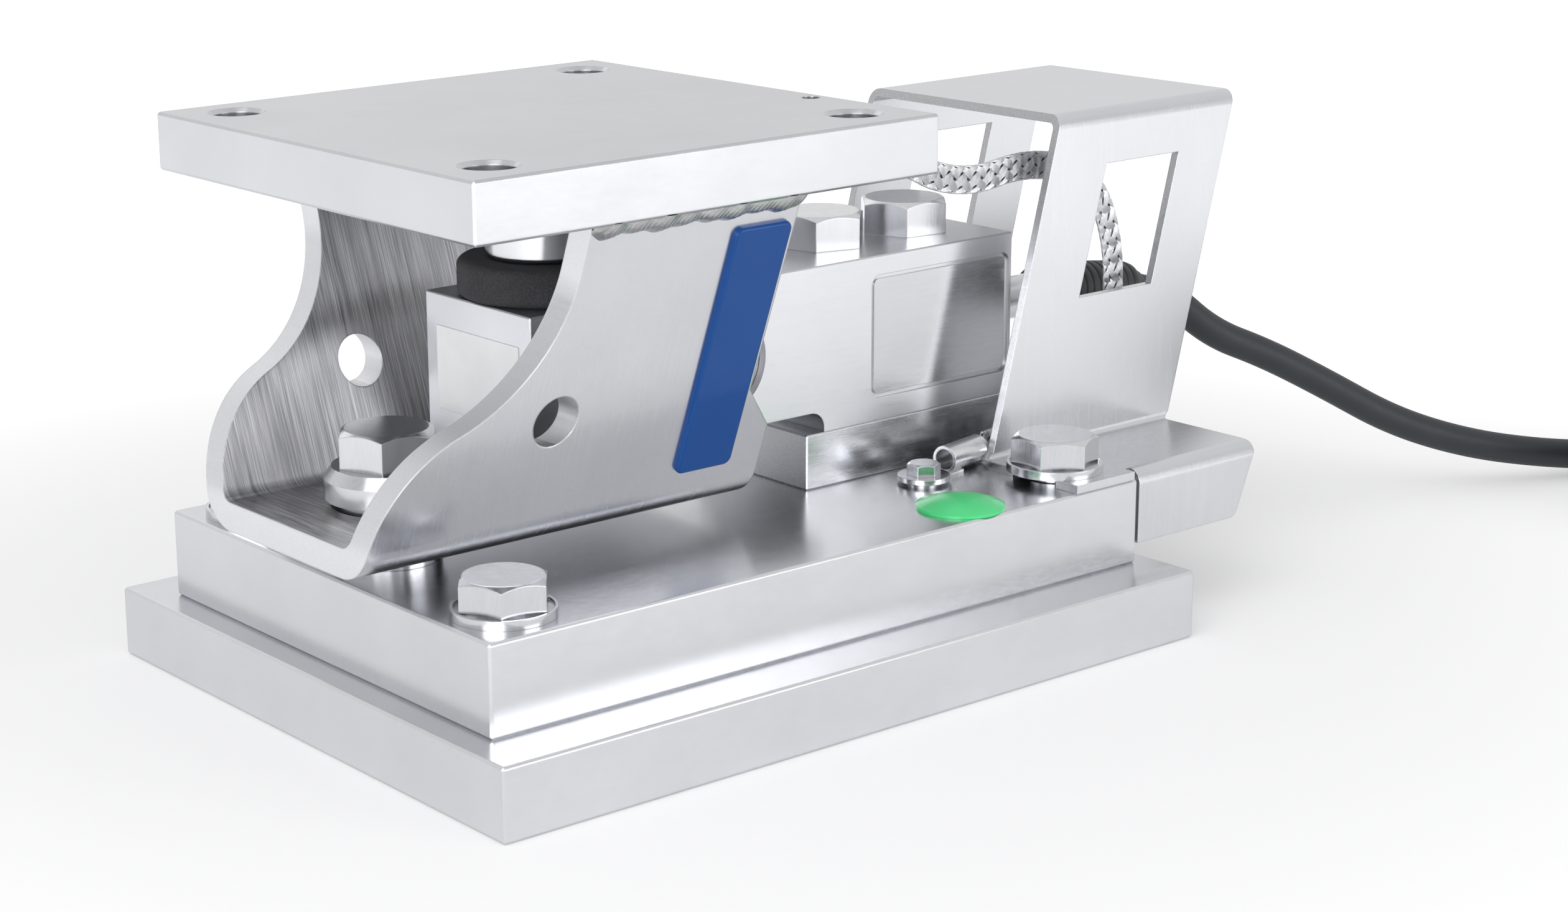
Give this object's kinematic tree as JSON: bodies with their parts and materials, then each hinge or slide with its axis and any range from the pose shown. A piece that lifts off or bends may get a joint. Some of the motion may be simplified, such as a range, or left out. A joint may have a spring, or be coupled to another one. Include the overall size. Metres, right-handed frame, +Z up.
{
  "type": "load cell weighing module",
  "caption": "Weighing module: a shear beam load cell on bolted plates carries a self-centring top plate on a rocker pin, with an uplift stop, a folded cover and a cable.",
  "frame": {"origin": "middle of the lower plate's underside, which rests on the ground or a frame", "axes": "+Z up through the load path, +X along the load cell towards its cable, +Y to the far side"},
  "size_m": [0.5845, 0.307, 0.1585],
  "materials": {
    "satin_steel": "satin",
    "bolt_steel": "bright",
    "ground_steel": "brushed",
    "nameplate_steel": "brushed",
    "label_film": "satin",
    "black_rubber": "matte",
    "cable_jacket": "matte",
    "core_insulation": "satin",
    "hard_steel": "polished",
    "black_foam": "matte",
    "weld_steel": "rough",
    "blue_resin": "gloss",
    "green_plastic": "satin",
    "lug_metal": "tinned",
    "braid_metal": "braided",
    "cover_steel": "satin"
  },
  "bodies": {
    "root": {"foundation_plate": "satin_steel", "base_plate": "satin_steel", "corner_bolts": "bolt_steel", "corner_washers": "bolt_steel", "cell_spacer": "ground_steel", "load_cell_beam": "ground_steel", "gauge_membranes": "ground_steel", "nameplate": "nameplate_steel", "end_label": "label_film", "cell_bolts": "bolt_steel", "cable_gland": "bolt_steel", "cable_sleeve": "black_rubber", "signal_cable": "cable_jacket", "cable_coil": "cable_jacket", "cable_leads": "core_insulation", "lower_seal_ring": "black_rubber", "foam_ring": "black_foam", "retaining_collar": "ground_steel", "retaining_bolt": "bolt_steel", "green_cap": "green_plastic", "ground_lug": "lug_metal", "ground_washer": "bolt_steel", "ground_screw": "bolt_steel", "ground_strap": "braid_metal", "cell_cover": "cover_steel"},
    "pin": {"rocker_pin": "hard_steel"},
    "seal": {"upper_seal_ring": "black_rubber"},
    "top": {"receiver_cup": "hard_steel", "top_plate": "satin_steel", "yoke": "satin_steel", "weld_beads": "weld_steel", "badge": "blue_resin", "strap_lug": "lug_metal", "strap_screw": "bolt_steel"}
  },
  "joints": [
    {"name": "plate_shift", "type": "slide", "parent": "root", "child": "seal", "axis": [1, 0, 0], "range_m": [-0.0013, 0.0013], "stiffness_N_per_m": 4000, "deforming": ["ground_strap"]},
    {"name": "plate_lift", "type": "slide", "parent": "seal", "child": "top", "axis": [0, 0, 1], "range_m": [0, 0.0022], "deforming": ["ground_strap"]},
    {"name": "pin_rock", "type": "hinge", "parent": "root", "child": "pin", "pos_m": [-0.03825, 0, 0.08805], "axis": [0, 1, 0], "range_deg": [-1.75, 1.75]}
  ],
  "couplings": [
    {"joint": "pin_rock", "follows": "plate_shift", "rad_per_m": 22.779}
  ]
}
